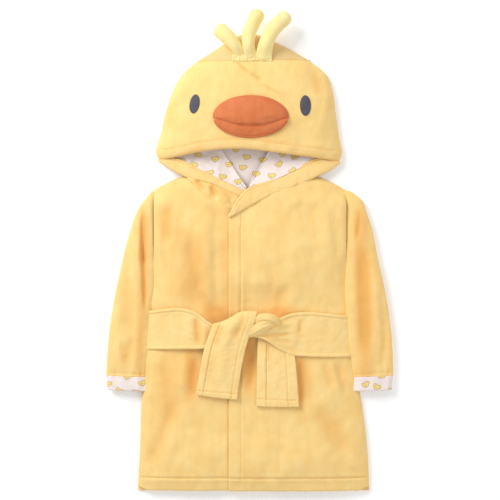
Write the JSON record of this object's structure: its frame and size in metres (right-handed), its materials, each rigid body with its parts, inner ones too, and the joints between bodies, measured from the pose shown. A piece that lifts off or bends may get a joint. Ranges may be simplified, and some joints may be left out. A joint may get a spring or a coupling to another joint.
{
  "type": "hooded baby bathrobe",
  "caption": "Baby bathrobe in yellow velour with a duck-face hood, stuffed tufts, wrap front, tied belt and printed cuffs, laid flat.",
  "frame": {"origin": "under the middle of the robe, on the surface that it lies on, at the bottom centre of its box", "axes": "+Y along the back towards the hood, +Z out of the front, +X to the right seen from above, so the robe's front faces up"},
  "size_m": [0.3732, 0.6271, 0.0428],
  "materials": {
    "velour": "pale yellow cotton velour, short cut pile with soft nap marks",
    "hood_velour": "pale yellow cotton velour of the hood",
    "band": "folded velour band, topstitched",
    "belt": "double velour belt with stitched edges",
    "print": null,
    "tuft": "lighter yellow velour, stuffed",
    "beak": "orange velour, padded",
    "eye": "dark grey satin stitch",
    "filling": "white polyester fibre filling"
  },
  "bodies": {
    "robe": {"back_panel": "velour", "neck_back_panel": "hood_velour", "front_panel_under": "velour", "front_panel_over": "velour", "hood_side_left": "hood_velour", "hood_side_right": "hood_velour", "collar_band_left": "band", "collar_band_right": "band", "collar_lining_left": "print", "collar_lining_centre": "print", "collar_lining_right": "print", "belt_band": "belt", "belt_knot": "belt"},
    "sleeve_left": {"sleeve_left": "velour", "cuff_left": "print"},
    "sleeve_right": {"sleeve_right": "velour", "cuff_right": "print"},
    "hood": {"hood_back_panel": "hood_velour", "hood_crown_panel": "hood_velour", "hood_face_panel": "hood_velour", "hood_brim_band": "band", "hood_lining_front": "print", "hood_lining_back": "print", "beak_upper": "beak", "beak_lower": "beak", "beak_filling": "filling", "eye_left": "eye", "eye_right": "eye", "tuft_tab": "tuft"},
    "tuft_left": {"tuft_left": "tuft", "tuft_filling_left": "filling"},
    "tuft_middle": {"tuft_middle": "tuft", "tuft_filling_middle": "filling"},
    "tuft_right": {"tuft_right": "tuft", "tuft_filling_right": "filling"},
    "belt_tail_left": {"belt_tail_left": "belt"},
    "belt_tail_right": {"belt_tail_right": "belt"},
    "front_corner": {"front_corner": "velour"}
  },
  "joints": [
    {"name": "sleeve_left_swing", "type": "hinge", "parent": "robe", "child": "sleeve_left", "pos_m": [-0.1253, 0.077, 0.0062], "axis": [0, 0, -1], "range_deg": [0, 50]},
    {"name": "sleeve_right_swing", "type": "hinge", "parent": "robe", "child": "sleeve_right", "pos_m": [0.1253, 0.077, 0.0062], "axis": [0, 0, 1], "range_deg": [0, 50]},
    {"name": "hood_tip", "type": "hinge", "parent": "robe", "child": "hood", "pos_m": [0, 0.1175, 0.0053], "axis": [1, 0, 0], "range_deg": [0, 40]},
    {"name": "tuft_left_bend", "type": "hinge", "parent": "hood", "child": "tuft_left", "pos_m": [-0.0165, 0.2569, 0.0245], "axis": [0, 0, 1], "range_deg": [-4, 20]},
    {"name": "tuft_middle_bend", "type": "hinge", "parent": "hood", "child": "tuft_middle", "pos_m": [0, 0.2554, 0.0245], "axis": [0, 0, 1], "range_deg": [-5, 5]},
    {"name": "tuft_right_bend", "type": "hinge", "parent": "hood", "child": "tuft_right", "pos_m": [0.0165, 0.2554, 0.0245], "axis": [0, 0, 1], "range_deg": [-20, 4]},
    {"name": "belt_tail_left_swing", "type": "hinge", "parent": "robe", "child": "belt_tail_left", "pos_m": [0.015, -0.098, 0.0246], "axis": [0, 0, 1], "range_deg": [-18, 4]},
    {"name": "belt_tail_right_swing", "type": "hinge", "parent": "robe", "child": "belt_tail_right", "pos_m": [0.015, -0.098, 0.0246], "axis": [0, 0, 1], "range_deg": [-4, 18]},
    {"name": "front_corner_fold", "type": "hinge", "parent": "robe", "child": "front_corner", "pos_m": [-0.028, -0.2105, 0.0202], "axis": [-0.7071, 0.7071, 0], "range_deg": [0, 100]}
  ]
}
